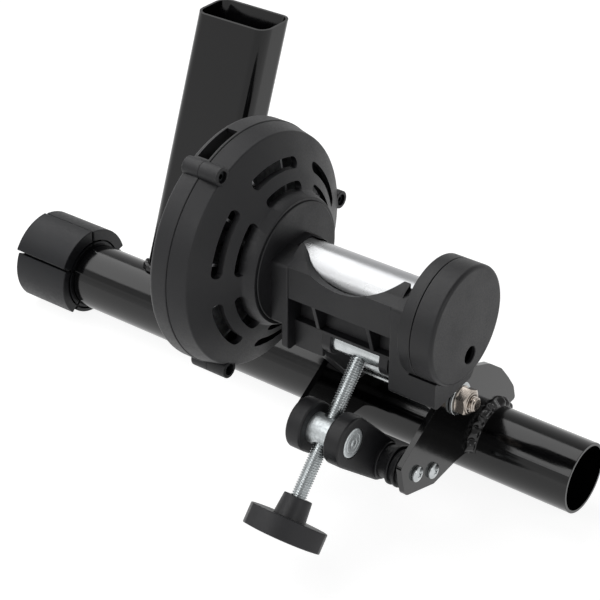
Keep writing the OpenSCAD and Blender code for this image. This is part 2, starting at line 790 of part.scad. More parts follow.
module housing_screws() {
  color("#8a8c8f") for (a = [0:2]) rot_a(121 + 120 * a) difference() {
    union() {
      xc(2.8, cor_x - 2.4, cor_x - 0.4, A + [boss_c, 0]);
      xc(1.25, part_x - 8, cor_x - 2.3, A + [boss_c, 0]);
    }
    hexx(2.4, cor_x - 1.6, cor_x + 2, A + [boss_c, 0]);
  }
}

module hub_screws() {
  color("#8a8c8f") for (a = hub_a) rot_a(a) union() {
    xc(3, hub_x - shell_t - 2.2, hub_x - shell_t - seat, A + [15.5, 0]);
    xc(1.6, hub_x - shell_t - 2 * seat, hub_x + 6, A + [15.5, 0]);
  }
}

module fan_wheel() {
  b = back_x + shell_t + 4;
  color("#c7cacc") difference() {
    union() {
      xc(fan_r, b, b + 1.4, A);
      xc(9, b, hub_x - shell_t - 3, A);
      for (i = [0:blade_n - 1]) rot_a(360 * i / blade_n + 15) xp_blade(b + 1);
    }
    xc(sh_d / 2 + 0.02, b - 1, hub_x, A);
  }
}

// one flat blade standing on the fan disc
module xp_blade(b) {
  translate([0, A[0], A[1] - blade_t / 2]) linear_extrude(blade_t)
    polygon([[b, 6], [hub_x - shell_t - 5, 6], [hub_x - shell_t - 6, 25],
      [-47.5 - shell_t - 3.5, slot_i - 2], [-52.9 - shell_t - 3, slot_o - 2],
      [-52.9 - shell_t - 6, fan_r], [b, fan_r]]);
}

module fan_nut() {
  b = back_x + shell_t + 4 - gap;
  color("#b39a5e") difference() {
    hexx(nut_af, b - 3.2, b, A);
    xc(sh_d / 2 + run, b - 5, b + 1, A);
  }
}

module flywheel() {
  color("#9a9da0") difference() {
    xc(cap_r - 7.6, cap0 + 0.8, cap0 + 0.8 + fly_t, A);
    xc(sh_d / 2 + 0.02, cap0, cap0 + 12, A);
    xr(A) translate([9, cap0 + 0.8 + fly_t - 1.6]) square([10, 3]);
  }
}

module flywheel_nut() {
  n0 = cap0 + 0.8 + fly_t + 0.1;
  color("#b9b6ae") difference() {
    hexx(nut_af, n0, n0 + 2.8, A);
    xc(sh_d / 2 + run, n0 - 1, n0 + 5, A);
  }
}

module end_cap() {
  color("#26282b") difference() {
    union() {
      difference() {
        xr(A) polygon(concat([[0, cap0], [cap_r, cap0]],
          [for (i = [0:6]) [cap_r - 2 + 2 * cos(15 * i), cap1 - 2 + 2 * sin(15 * i)]],
          [[0, cap1]]));
        xc(cap_r - cap_wall, cap0 - 1, cap1 - cap_wall, A);
      }
      for (a = cap_a) rot_a(a) xc(2.9, cap0, cap1 - 1, A + [cap_r - 4, 0]);
    }
    for (a = cap_a) rot_a(a) xc(1.25, cap0 - 1, cap0 + 6, A + [cap_r - 4, 0]);
    xc(cap_hole / 2, cap1 - 5, cap1 + 1, A + [4, -17.8]);
  }
}

module cap_screws() {
  color("#8a8c8f") for (a = cap_a) rot_a(a) union() {
    xc(2.7, fl0 - 2, fl0 - seat, A + [cap_r - 4, 0]);
    xc(1.2, fl0 - 2 * seat, cap0 + 5, A + [cap_r - 4, 0]);
  }
}

crossbar();
upright();
upright_weld();
foot_cap();
bracket_plate_right();
bracket_plate_left();
bracket_welds();
pivot_bolt();
pivot_nut();
pivot_washers();
pivot_sleeve();
screw_fork();
fork_screws();
threaded_cross_pin();
adjusting_screw();
knob();
upper_cross_pin();
screw_clip();
yoke();
roller();
shaft();
bearing_left();
bearing_right();
housing_front();
housing_back();
housing_screws();
hub_screws();
fan_wheel();
fan_nut();
flywheel();
flywheel_nut();
end_cap();
cap_screws();
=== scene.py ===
# %% [markdown]
# # Resistance unit of an indoor bicycle trainer
# A rear tyre rolls on a polished roller. The roller turns a fan in the round housing on its left
# and a small flywheel under the cap on its right. A knob screw tilts the whole unit towards the
# tyre, on a bracket that is welded to the crossbar of the stand.
# The frame comes from the CAD model. Here each visible piece gets its finish, and the pieces
# whose edges, threads or beads show are modelled again with more detail, in the same places.

# %% Load the CAD frame
import math

import bmesh
import bpy
from mathutils import Matrix, Vector, noise


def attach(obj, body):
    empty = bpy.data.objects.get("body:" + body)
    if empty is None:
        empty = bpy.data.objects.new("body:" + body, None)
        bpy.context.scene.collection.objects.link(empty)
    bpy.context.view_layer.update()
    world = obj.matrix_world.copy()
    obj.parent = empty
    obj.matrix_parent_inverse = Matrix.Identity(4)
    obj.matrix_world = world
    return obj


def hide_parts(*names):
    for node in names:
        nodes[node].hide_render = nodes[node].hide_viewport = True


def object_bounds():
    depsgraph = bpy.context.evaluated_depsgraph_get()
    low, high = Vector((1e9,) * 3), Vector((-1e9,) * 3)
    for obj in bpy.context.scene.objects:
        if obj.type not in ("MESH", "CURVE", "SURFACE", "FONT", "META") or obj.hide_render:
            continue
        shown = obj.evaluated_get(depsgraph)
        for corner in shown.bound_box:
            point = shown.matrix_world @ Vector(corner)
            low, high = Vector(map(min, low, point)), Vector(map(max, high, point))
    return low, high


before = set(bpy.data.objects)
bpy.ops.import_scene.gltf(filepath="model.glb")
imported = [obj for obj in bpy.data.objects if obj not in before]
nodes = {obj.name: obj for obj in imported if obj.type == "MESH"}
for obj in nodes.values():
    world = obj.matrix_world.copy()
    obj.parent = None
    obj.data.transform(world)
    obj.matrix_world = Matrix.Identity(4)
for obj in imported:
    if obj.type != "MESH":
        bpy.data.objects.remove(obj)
cad_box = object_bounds()
print("pieces from CAD:", len(nodes))

# %% [markdown]
# ## Sizes that several pieces share
# Shapes are drawn in millimetres, like the CAD model, and turned to metres when they become
# objects. Most pieces are prisms or lathe work along X, so a place is a point in the Y Z plane.

# %% Sizes and places in millimetres
MM = 0.001
ROLLER = Vector((-57, 103.85))
PIVOT = Vector((-31.6, 42.7))
LOW_PIN = Vector((-94.1, 42.4))
SCREW_ONE, SCREW_TWO = Vector((-67.1, 17.1)), Vector((-52.7, 10.5))
SCREW_DIR = Vector((0.6645, 0.7473))
PIN_GAP = 44
TOP_PIN = LOW_PIN + SCREW_DIR * PIN_GAP
BRACKET_X = 6.4
PLATE_T, PLATE_L, PLATE_R = 3.0, -28.1, 37.9  # thickness, and the left face of each plate
WELD_SIDES = ((PLATE_R + PLATE_T, 1), (PLATE_L, -1))  # outer faces, and the way each looks
BAR_R, BAR_BORE, BAR_LEFT, BAR_RIGHT = 19.05, 17.45, -270.2, 98.0
FOOT_LEFT, FOOT_RIGHT = -273.7, -235.5
HUB_X, PART_X, BACK_X, CORNER_X = -42.4, -70.2, -81.5, -59.8
RIM_R, SHELL = 63.5, 2.4
BOSS_R, HUB_SCREW_R, CAP_SCREW_R = 63, 15.5, 26  # circles on which the screws stand
BLOCK_LEFT, BLOCK_IN, BLOCK_RIGHT = -42.1, 29.8, 41.5
FLANGE_FROM, FLANGE_TO, CAP_R = 40.5, 47, 30
BLOCK_FOOT = 65.85
THREAD = (3.38, 3.97, 1.25)  # M8: root, crest and pitch
print("upper pin at", [round(v, 1) for v in TOP_PIN])

# %% [markdown]
# ## Camera
# The photograph was taken with a long lens from the right and above. The angles and the distance
# are those at which the rings of the housing and the edges of the tubes fall where the photo
# has them.

# %% Camera at the photograph's angle
AZIMUTH, ELEVATION = math.radians(37.21), math.radians(31.38)
TARGET = Vector((-81.33, 0, 38.80)) * MM
DISTANCE, LENS = 1004.8 * MM, 111.32

back = Vector((math.sin(AZIMUTH) * math.cos(ELEVATION),
               -math.cos(AZIMUTH) * math.cos(ELEVATION), math.sin(ELEVATION)))
camera = bpy.data.objects.new("camera", bpy.data.cameras.new("camera"))
camera.data.lens, camera.data.sensor_width = LENS, 36
camera.location = TARGET + back * DISTANCE
camera.rotation_mode = "QUATERNION"
camera.rotation_quaternion = (-back).to_track_quat("-Z", "Y")
bpy.context.scene.collection.objects.link(camera)
bpy.context.scene.camera = camera
bpy.context.scene.view_settings.view_transform = "Standard"
print("camera at", [round(v, 3) for v in camera.location])

# %% [markdown]
# ## Helpers for materials
# A colour is written as the hex value that a colour picker shows, and turned to the linear value
# that the shaders work in. One function adds a node: a socket given as an input is linked, and
# anything else is set as the input's value.

# %% Colour, scale and node helpers


def linear(code):
    """Linear RGBA from a hex colour."""
    parts = [int(code[i:i + 2], 16) / 255 for i in (1, 3, 5)]
    return tuple(c / 12.92 if c <= 0.04045 else ((c + 0.055) / 1.055) ** 2.4
                 for c in parts) + (1.0,)


def per_mm(size):
    """Texture scale for a pattern whose grain is this many millimetres wide."""
    return 1 / (size * MM)


def add(tree, kind, inputs=None, **settings):
    """Adds one node with its settings, its values and its links."""
    node = tree.nodes.new(kind)
    for key, value in settings.items():
        setattr(node, key, value)
    for key, value in (inputs or {}).items():
        if isinstance(value, bpy.types.NodeSocket):
            tree.links.new(value, node.inputs[key])
        else:
            node.inputs[key].default_value = value
    return node


def new_material(name):
    """An empty node material: its tree, its object coordinates and its surface shader."""
    material = bpy.data.materials.new(name)
    material.use_nodes = True
    tree = material.node_tree
    tree.nodes.clear()
    place = add(tree, "ShaderNodeTexCoord").outputs["Object"]
    shader = add(tree, "ShaderNodeBsdfPrincipled")
    add(tree, "ShaderNodeOutputMaterial", {"Surface": shader.outputs[0]})
    return material, tree, place, shader


def spread(tree, value, low, high, start=0.35, end=0.68):
    """Turns a noise value into a range of numbers."""
    return add(tree, "ShaderNodeMapRange",
               {"Value": value, 1: start, 2: end, 3: low, 4: high}).outputs[0]


def wear(tree, factor, a, b):
    """Colour between two hex colours."""
    mix = add(tree, "ShaderNodeMix", data_type="RGBA")
    tree.links.new(factor, mix.inputs[0])
    mix.inputs[6].default_value, mix.inputs[7].default_value = linear(a), linear(b)
    return mix.outputs[2]


# %% [markdown]
# ## Black ABS with a spark-eroded grain
# The yoke, the housing, the cap, the fork and the knob are injection moulded in black ABS. The
# mould is spark eroded, which leaves a fine matte grain that scatters the light and makes the
# black look dark grey. Handling leaves faint, slightly glossier smears. The real grain is about
# 0.1 mm and would not show, so it is drawn about 0.45 mm wide.

# %% Moulded ABS


def moulded(name, dark, light, grain, shine, gloss, depth=0.3):
    """A moulded plastic: two tones, grain width in mm, roughness, specular level and bump."""
    material, tree, place, shader = new_material(name)
    smear = add(tree, "ShaderNodeTexNoise", {"Vector": place, "Scale": per_mm(24), "Detail": 5,
                                             "Roughness": 0.62}).outputs[0]
    fine = add(tree, "ShaderNodeTexNoise", {"Vector": place, "Scale": per_mm(grain),
                                            "Detail": 3}).outputs[0]
    speck = add(tree, "ShaderNodeTexNoise", {"Vector": place, "Scale": per_mm(grain * 2),
                                             "Detail": 2}).outputs[0]
    both = add(tree, "ShaderNodeMath", {0: smear, 1: speck}, operation="ADD").outputs[0]
    bump = add(tree, "ShaderNodeBump", {"Height": fine, "Strength": depth,
                                        "Distance": 0.09 * MM})
    tree.links.new(wear(tree, spread(tree, both, 0, 1, 0.75, 1.3), dark, light),
                   shader.inputs["Base Color"])
    tree.links.new(spread(tree, both, shine - 0.08, shine + 0.09, 0.75, 1.3),
                   shader.inputs["Roughness"])
    tree.links.new(bump.outputs[0], shader.inputs["Normal"])
    shader.inputs["IOR"].default_value = 1.53
    shader.inputs["Specular IOR Level"].default_value = gloss
    return material


black_abs = moulded("black_abs_grained", "#141416", "#1b1b1e", 0.45, 0.5, 0.38)
knob_abs = moulded("black_abs_knob", "#1a1a1c", "#232326", 0.6, 0.48, 0.42)
fork_nylon = moulded("black_nylon_fork", "#111113", "#18181b", 0.5, 0.48, 0.36)
foot_pp = moulded("black_polypropylene_foot", "#121316", "#191a1e", 0.8, 0.46, 0.3, 0.2)

# %% [markdown]
# ## Gloss black powder coat
# Tubes and plates are steel, sprayed with polyester powder and baked. The melted powder flows to
# a hard gloss with a slight orange peel about two millimetres wide. Dust and handling dull it
# and lighten it in patches a few centimetres wide.

# %% Powder coat


def powder_coat(name, colour, dusty, peel, gloss):
    """A gloss paint: clean and dusty tone, orange peel strength and specular level."""
    material, tree, place, shader = new_material(name)
    waves = add(tree, "ShaderNodeTexNoise", {"Vector": place, "Scale": per_mm(2.4),
                                             "Detail": 1}).outputs[0]
    dust = add(tree, "ShaderNodeTexNoise", {"Vector": place, "Scale": per_mm(26), "Detail": 7,
                                            "Roughness": 0.72}).outputs[0]
    bump = add(tree, "ShaderNodeBump", {"Height": waves, "Strength": peel,
                                        "Distance": 0.04 * MM})
    tree.links.new(wear(tree, spread(tree, dust, 0, 1, 0.45, 0.78), colour, dusty),
                   shader.inputs["Base Color"])
    tree.links.new(spread(tree, dust, 0.1, 0.2, 0.42, 0.78), shader.inputs["Roughness"])
    tree.links.new(bump.outputs[0], shader.inputs["Normal"])
    shader.inputs["Specular IOR Level"].default_value = gloss
    return material


gloss_steel = powder_coat("powder_coated_steel", "#060607", "#0b0b0d", 0.25, 0.45)
weld_steel = powder_coat("powder_coated_weld", "#060607", "#0b0b0d", 0.4, 0.5)

# %% [markdown]
# ## Bare metals
# The roller is turned aluminium, polished on the lathe, so its finest marks run round it. The
# screw and the pins are zinc plated, which looks a little cloudy. The nut and the bolt have a
# slightly warmer passivated zinc. The fan is cast aluminium. Lathe marks are noise squeezed
# along X, and they are drawn coarser than the real tenth of a millimetre.

# %% Metals


def metal(name, colour, tint, shine, mottle, stretch, marks):
    """A metal: two tones, roughness, cloud width in mm, squeeze of its marks, bump strength."""
    material, tree, place, shader = new_material(name)
    lines = add(tree, "ShaderNodeMapping", {"Vector": place, "Scale": stretch}).outputs[0]
    scratch = add(tree, "ShaderNodeTexNoise", {"Vector": lines, "Scale": per_mm(0.9),
                                               "Detail": 3}).outputs[0]
    cloud = add(tree, "ShaderNodeTexNoise", {"Vector": place, "Scale": per_mm(mottle),
                                             "Detail": 4}).outputs[0]
    bump = add(tree, "ShaderNodeBump", {"Height": scratch, "Strength": marks,
                                        "Distance": 0.02 * MM})
    tree.links.new(wear(tree, spread(tree, cloud, 0, 1), colour, tint),
                   shader.inputs["Base Color"])
    tree.links.new(spread(tree, cloud, shine - 0.05, shine + 0.07), shader.inputs["Roughness"])
    tree.links.new(bump.outputs[0], shader.inputs["Normal"])
    shader.inputs["Metallic"].default_value = 1.0
    return material


EVEN, ROUND_X = (1, 1, 1), (8, 0.3, 0.3)
polished_aluminium = metal("polished_aluminium", "#b8b9ba", "#acadb0", 0.31, 40, ROUND_X, 0.5)
bright_zinc = metal("bright_zinc_plate", "#c3c7c8", "#b9bdbe", 0.27, 4, EVEN, 0.12)
warm_zinc = metal("passivated_zinc_plate", "#b9b0a7", "#a59c93", 0.21, 3, EVEN, 0.15)
turned_end = metal("turned_zinc_end", "#cdd2d3", "#b4b9bb", 0.42, 1.4, (1, 2, 2), 0.6)
cast_aluminium = metal("cast_aluminium", "#a8a9aa", "#7c7d7f", 0.4, 2.5, EVEN, 0.8)
ground_steel = metal("ground_steel", "#8c8f92", "#74777a", 0.32, 8, ROUND_X, 0.5)
black_oxide = metal("black_oxide_steel", "#242527", "#161719", 0.42, 2, EVEN, 0.4)
brass = metal("brass", "#a8884f", "#8e7140", 0.3, 3, EVEN, 0.4)

# %% Finish of every CAD piece
finish_of = {
    "crossbar": gloss_steel, "upright": gloss_steel, "upright_weld": weld_steel,
    "bracket_plate_right": gloss_steel, "bracket_plate_left": gloss_steel,
    "bracket_welds": weld_steel, "foot_cap": foot_pp, "pivot_bolt": warm_zinc,
    "pivot_nut": warm_zinc, "pivot_washers": bright_zinc, "pivot_sleeve": bright_zinc,
    "screw_fork": fork_nylon, "fork_screws": bright_zinc, "threaded_cross_pin": turned_end,
    "adjusting_screw": bright_zinc, "knob": knob_abs, "upper_cross_pin": bright_zinc,
    "screw_clip": black_oxide, "yoke": black_abs, "roller": polished_aluminium,
    "shaft": ground_steel, "bearing_left": ground_steel, "bearing_right": ground_steel,
    "housing_front": black_abs, "housing_back": black_abs, "housing_screws": black_oxide,
    "hub_screws": black_oxide, "fan_wheel": cast_aluminium, "fan_nut": brass,
    "flywheel": ground_steel, "flywheel_nut": warm_zinc, "end_cap": black_abs,
    "cap_screws": black_oxide,
}
for name, material in finish_of.items():
    for slot in nodes[name].material_slots:
        slot.material = material
print("finished CAD pieces:", len(finish_of))

# %% [markdown]
# ## Helpers for shapes
# A turned piece is a profile spun round its axis. A plate or a block is one face extruded. An
# edge is rounded while its shape is still simple, because a bevel goes wrong on the long thin
# faces that a Boolean leaves. The rounded shapes are then joined and cut with exact Booleans.

# %% Outlines


def around(centre, radius, degrees):
    """The point at an angle from +Y towards +Z round a centre."""
    turn = math.radians(degrees)
    return Vector((centre[0] + radius * math.cos(turn), centre[1] + radius * math.sin(turn)))


def arc(centre, radius, start, stop, count):
    """Points on an arc."""
    return [around(centre, radius, start + (stop - start) * i / count)
            for i in range(count + 1)]


def fillet(corners, count=6):
    """An outline from corners (u, v, radius), each rounded to its radius."""
    points = []
    for i, (u, v, radius) in enumerate(corners):
        here = Vector((u, v))
        if not radius:
            points.append(here)
            continue
        back_way = (Vector(corners[i - 1][:2]) - here).normalized()
        on_way = (Vector(corners[(i + 1) % len(corners)][:2]) - here).normalized()
        half = back_way.angle(on_way) / 2
        centre = here + (back_way + on_way).normalized() * radius / math.sin(half)
        first = here + back_way * radius / math.tan(half) - centre
        last = here + on_way * radius / math.tan(half) - centre
        turn = math.atan2(first.x * last.y - first.y * last.x, first.dot(last))
        points += [centre + Matrix.Rotation(turn * k / count, 2) @ first
                   for k in range(count + 1)]
    return points


def strap(p, r, q, s, count=28):
    """The outline of two circles and their outer tangents."""
    axis = math.degrees(math.atan2(q[1] - p[1], q[0] - p[0]))
    lean = math.degrees(math.acos((r - s) / (Vector(q) - Vector(p)).length))
    return arc(q, s, axis - lean, axis + lean, count) + arc(p, r, axis + lean,
                                                             axis + 360 - lean, count)


def slot_line(centre, radius, width, angle, at, count=20):
    """The outline of a curved slot with round ends."""
    start, stop = at - angle / 2, at + angle / 2
    return (arc(centre, radius + width / 2, start, stop, count)
            + arc(around(centre, radius, stop), width / 2, stop, stop + 180, 10)[1:-1]
            + arc(centre, radius - width / 2, stop, start, count)
            + arc(around(centre, radius, start), width / 2, start + 180, start + 360, 10)[1:-1])


# %% Solids


def extruded(points, shift):
    """A face through the points, extruded by a vector."""
    shape = bmesh.new()
    face = shape.faces.new([shape.verts.new(point) for point in points])
    grown = bmesh.ops.extrude_face_region(shape, geom=[face])["geom"]
    bmesh.ops.translate(shape, vec=shift,
                        verts=[v for v in grown if isinstance(v, bmesh.types.BMVert)])
    bmesh.ops.recalc_face_normals(shape, faces=shape.faces)
    return shape


def prism(outline, x0, x1):
    """A solid with this outline in the Y Z plane, from x0 to x1."""
    return extruded([(x0, y, z) for y, z in outline], (x1 - x0, 0, 0))


def box(size, middle):
    """A box of this size round a point."""
    shape = bmesh.new()
    bmesh.ops.create_cube(shape, size=1)
    bmesh.ops.scale(shape, vec=size, verts=shape.verts)
    bmesh.ops.translate(shape, vec=middle, verts=shape.verts)
    return shape


def lathe(profile, centre=(0, 0), steps=96, start=0, sweep=360, closed=False):
    """A profile of (radius, x) spun round an axis along X. A closed profile makes a ring."""
    shape = bmesh.new()
    line = [shape.verts.new((x, *around(centre, r, start))) for r, x in profile]
    pairs = list(zip(line, line[1:])) + ([(line[-1], line[0])] if closed else [])
    edges = [shape.edges.new(pair) for pair in pairs]
    full = sweep == 360
    bmesh.ops.spin(shape, geom=line + edges, cent=(0, *centre), axis=(1, 0, 0), steps=steps,
                   angle=math.radians(sweep), use_merge=full)
    if not full:
        bmesh.ops.holes_fill(shape, edges=[e for e in shape.edges if e.is_boundary], sides=0)
    bmesh.ops.remove_doubles(shape, verts=shape.verts, dist=0.0005)
    bmesh.ops.recalc_face_normals(shape, faces=shape.faces)
    return shape


def rod(centre, radius, x0, x1, steps=64):
    """A plain round bar, for holes and for parts of a joined shape."""
    return lathe([(0, x0), (radius, x0), (radius, x1), (0, x1)], centre, steps)


def soften(shape, width, segments=3, angle=30, where=None):
    """Rounds the edges that are sharper than an angle."""
    edges = [e for e in shape.edges if e.is_manifold
             and e.calc_face_angle(0) > math.radians(angle) and (not where or where(e))]
    bmesh.ops.bevel(shape, geom=edges, offset=width, offset_type="OFFSET", segments=segments,
                    profile=0.5, affect="EDGES", clamp_overlap=True, material=-1)
    return shape


def turned(shape, matrix):
    """The shape moved by a matrix."""
    bmesh.ops.transform(shape, matrix=matrix, verts=shape.verts)
    return shape


def pile(shapes):
    """Several shapes put into one, without joining their surfaces."""
    result = bmesh.new()
    for shape in shapes:
        mesh = bpy.data.meshes.new("pile")
        shape.to_mesh(mesh)
        shape.free()
        result.from_mesh(mesh)
        bpy.data.meshes.remove(mesh)
    return result


def carve(shape, others, way="DIFFERENCE"):
    """Cuts other shapes out of this one, or joins them to it, with an exact Boolean."""
    things = []
    for part in (shape, pile(others)):
        mesh = bpy.data.meshes.new("carve")
        part.to_mesh(mesh)
        part.free()
        things.append(bpy.data.objects.new("carve", mesh))
        bpy.context.scene.collection.objects.link(things[-1])
    tool = things[0].modifiers.new("carve", "BOOLEAN")
    tool.operation, tool.solver, tool.object = way, "EXACT", things[1]
    tool.use_self = True
    bpy.context.view_layer.update()
    result = bmesh.new()
    result.from_object(things[0], bpy.context.evaluated_depsgraph_get())
    for thing in things:
        mesh = thing.data
        bpy.data.objects.remove(thing)
        bpy.data.meshes.remove(mesh)
    bmesh.ops.remove_doubles(result, verts=result.verts, dist=0.001)
    return result


def show(shape, name, body, stands_for, limit=35):
    """Turns a shape in millimetres into a finished piece that replaces a CAD node."""
    bmesh.ops.remove_doubles(shape, verts=shape.verts, dist=0.002)
    bmesh.ops.recalc_face_normals(shape, faces=shape.faces)
    bmesh.ops.scale(shape, vec=(MM, MM, MM), verts=shape.verts)
    for face in shape.faces:
        face.smooth = True
    for edge in shape.edges:
        edge.smooth = edge.calc_face_angle(0) < math.radians(limit)
    mesh = bpy.data.meshes.new(name)
    shape.to_mesh(mesh)
    shape.free()
    mesh.materials.append(finish_of[stands_for])
    piece = bpy.data.objects.new(name, mesh)
    bpy.context.scene.collection.objects.link(piece)
    even = piece.modifiers.new("even shading", "WEIGHTED_NORMAL")
    even.keep_sharp, even.weight = True, 60
    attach(piece, body)
    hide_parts(stands_for)
    print(name, len(mesh.polygons), "faces")
    return piece


SCREW_FRAME = (Matrix.Translation((BRACKET_X, TOP_PIN.x, TOP_PIN.y))
               @ Matrix.Rotation(-math.atan2(SCREW_DIR.x, SCREW_DIR.y), 4, "X"))
LATHE_TO_Z = Matrix.Rotation(math.radians(-90), 4, "Y")
print("screw leans", round(math.degrees(math.atan2(SCREW_DIR.x, SCREW_DIR.y)), 1), "degrees")

# %% [markdown]
# ## Fan housing
# The housing is two moulded shells that meet at a parting line. The front shell has a flat hub
# disc, a cone with two rings of curved slots, and a rim that widens a little towards the parting
# line so that it leaves its mould. Both are closed profiles, spun, with the slots cut after.

# %% Front shell of the fan housing
BOSS_AT = (121, 241, 361)
HUB_AT = (30, 150, 270)
shell = lathe(fillet([(9, HUB_X, 0), (31.15, HUB_X, 0), (31.15, -40.7, 0.2), (32.7, -40.7, 0.6),
                      (34.9, -46.3, 2.2), (47, -52.9, 0), (60.9, CORNER_X, 1.3),
                      (63.1, PART_X, 0.15), (60.7, PART_X, 0),
                      (58.6, -61.8, 1.5), (46, -55.6, 0), (34.4, -50.1, 0), (29.4, -44.8, 0),
                      (9, HUB_X - SHELL, 0)]), ROLLER, 144, closed=True)
bosses = [lathe(fillet([(0, PART_X, 0), (4.8, PART_X, 0), (4.8, CORNER_X + 0.8, 0.5),
                        (0, CORNER_X + 0.8, 0)]), around(ROLLER, BOSS_R, at), 40)
          for at in BOSS_AT]
shell = carve(shell, bosses, "UNION")
cuts = [prism(slot_line(ROLLER, 47, 5.4, 36, 30 + 60 * k), -62, -46) for k in range(6)]
cuts += [prism(slot_line(ROLLER, 36.6, 4.8, 35, 30 + 60 * k), -58, -42.5) for k in range(6)]
cuts += [rod(around(ROLLER, BOSS_R, at), 1.6, PART_X - 1, CORNER_X + 2, 24) for at in BOSS_AT]
cuts += [rod(around(ROLLER, BOSS_R, at), 3.1, CORNER_X - 2.6, CORNER_X + 2, 32) for at in BOSS_AT]
cuts += [rod(around(ROLLER, HUB_SCREW_R, at), 1.7, HUB_X - 4, HUB_X + 1, 24) for at in HUB_AT]
show(carve(shell, cuts), "housing_front_shell", "unit", "housing_front")

# %% Back shell of the fan housing
shell = lathe(fillet([(0, BACK_X, 0), (RIM_R, BACK_X, 3.1), (RIM_R, PART_X - 0.15, 0.5),
                      (RIM_R - SHELL, PART_X - 0.15, 0), (RIM_R - SHELL, BACK_X + SHELL, 1),
                      (0, BACK_X + SHELL, 0)]), ROLLER, 144)
bosses = [lathe(fillet([(0, BACK_X + 1, 0), (4.8, BACK_X + 1, 0.6), (4.8, PART_X - 0.15, 0.3),
                        (0, PART_X - 0.15, 0)]), around(ROLLER, BOSS_R, at), 40)
          for at in BOSS_AT]
shell = carve(shell, bosses, "UNION")
cuts = [lathe([(58.1, -78.3), (70.5, -78.3), (70.5, -71.7), (58.1, -71.7)], ROLLER, 8,
              at - 10.5, 21, True) for at in (-15, 45, 105)]
cuts += [prism(slot_line(ROLLER, 40.25, 12, 36, 60 * k), BACK_X - 1, BACK_X + SHELL + 1)
         for k in range(6)]
cuts += [rod(around(ROLLER, BOSS_R, at), 1.3, PART_X - 9, PART_X, 24) for at in BOSS_AT]
show(carve(shell, cuts), "housing_back_shell", "unit", "housing_back")

# %% [markdown]
# ## End cap
# The flywheel cap is one turned shape with a soft outer edge and a round hole low in its face,
# where the small disc of the flywheel shows as a dark recess.

# %% End cap
CAP_AT = (-30, 25, 80)
CAP_FROM, CAP_WALL, CAP_TO = FLANGE_TO + 0.3, 2, 59.3
inside = CAP_R - CAP_WALL
cap = lathe(fillet([(0, CAP_TO - CAP_WALL, 0), (inside, CAP_TO - CAP_WALL, 0.8),
                    (inside, CAP_FROM, 0.2), (CAP_R, CAP_FROM, 0.35), (CAP_R, CAP_TO, 2.0),
                    (0, CAP_TO, 0)]), ROLLER, 128)
posts = [rod(around(ROLLER, CAP_SCREW_R, at), 2.9, CAP_FROM, CAP_TO - 1, 32) for at in CAP_AT]
cap = carve(cap, posts, "UNION")
hole = lathe([(0, 54.3), (4.5, 54.3), (4.5, 59.0), (4.9, 59.35), (4.9, 60.3), (0, 60.3)],
             ROLLER + Vector((4, -17.8)), 48)
holes = [rod(around(ROLLER, CAP_SCREW_R, at), 1.25, 46.3, 53.3, 24) for at in CAP_AT]
cap = carve(cap, [hole] + holes)
show(cap, "end_cap_moulding", "unit", "end_cap")

# %% [markdown]
# ## Yoke
# The yoke carries the roller between two solid blocks. Each block, flange, leg, ear and rib is
# drawn and rounded by itself. The guard gets its scoop for the tyre before its edges are
# rounded. Then all are joined into one moulding, and the bores are cut.

# %% Blocks and flanges of the yoke


def block(base):
    """Side outline of a block down to a height."""
    return fillet([(-77.9, base, 3), (-77.9, 113.55, 2), (-63.8, 117.45, 2),
                   (-49, 117.45, 4), (-38, 105.85, 6), (-38, 85.85, 5), (-46, base + 3, 4)], 10)


left = prism(block(79.05), BLOCK_LEFT, -BLOCK_IN)
bmesh.ops.bisect_plane(left, geom=left.verts[:] + left.edges[:] + left.faces[:],
                       plane_co=(0, 0, 97.85), plane_no=(0, 0, 1), dist=0.001)
for vert in left.verts:
    if vert.co.x < -42 and vert.co.z > 97.85:
        vert.co.x += 2.2 * (vert.co.z - 97.85) / 36
cap_seat = fillet([(-77.9, BLOCK_FOOT, 3), (-77.9, 80.85, 0), (-40.35, 80.85, 0),
                   (-46, BLOCK_FOOT + 3, 4)], 8)
yoke_parts = [soften(left, 0.9),
              soften(prism(block(BLOCK_FOOT), -33.7, -BLOCK_IN), 0.7),
              soften(prism(block(BLOCK_FOOT), BLOCK_IN, BLOCK_RIGHT), 0.9),
              lathe(fillet([(0, BLOCK_LEFT, 0), (31, BLOCK_LEFT, 0), (31, -39.9, 0.5),
                            (0, -39.9, 0)]), ROLLER, 128),
              lathe(fillet([(0, FLANGE_FROM, 0), (CAP_R, FLANGE_FROM, 0.3),
                            (CAP_R, FLANGE_TO, 0.3), (0, FLANGE_TO, 0)]), ROLLER, 128),
              soften(carve(prism(cap_seat, FLANGE_FROM, 56.5),
                           [rod(ROLLER, CAP_R + 0.15, FLANGE_TO, 57.5, 128)]), 0.5)]
print("blocks and flanges:", len(yoke_parts))

# %% Guard, lip and ribs of the yoke
guard = carve(prism(arc(ROLLER, 17.9, 0, 357.5, 143), -31.8, 31.8),
              [prism([(-77.2, 96.35), (-77.2, 113.55), (-63.8, 117.45), (-63.8, 103.85),
                      (-72.9, 96.35)], -31.8, 31.8)], "UNION")
open_side = prism([(-57, 103.85), (-63.8, 103.85), (-63.8, 163.85), (33, 163.85),
                   (33, 43.85), (-45, 85.85)], -40, 40)
SCOOP = (Matrix.Translation((-1, -77.9, 110.05))
         @ Matrix.Rotation(math.radians(-113), 4, "X") @ Matrix.Translation((0, -36, -30)))
scoop = turned(rod((0, 0), 36, 0, 50, 160), SCOOP @ LATHE_TO_Z)
guard = carve(guard, [open_side, rod(ROLLER, 14.9, -35.35, 36.35, 144), scoop])
yoke_parts.append(soften(guard, 0.5, where=lambda e: abs(e.verts[0].co.x) < 31
                         or abs(e.verts[1].co.x) < 31))
lip = fillet([(-72, 80.05, 0), (-72, 81.65, 0.4), (-67.4, 81.65, 0), (-66, 88.95, 0),
              (-48, 88.95, 0), (-48, 80.05, 0)])
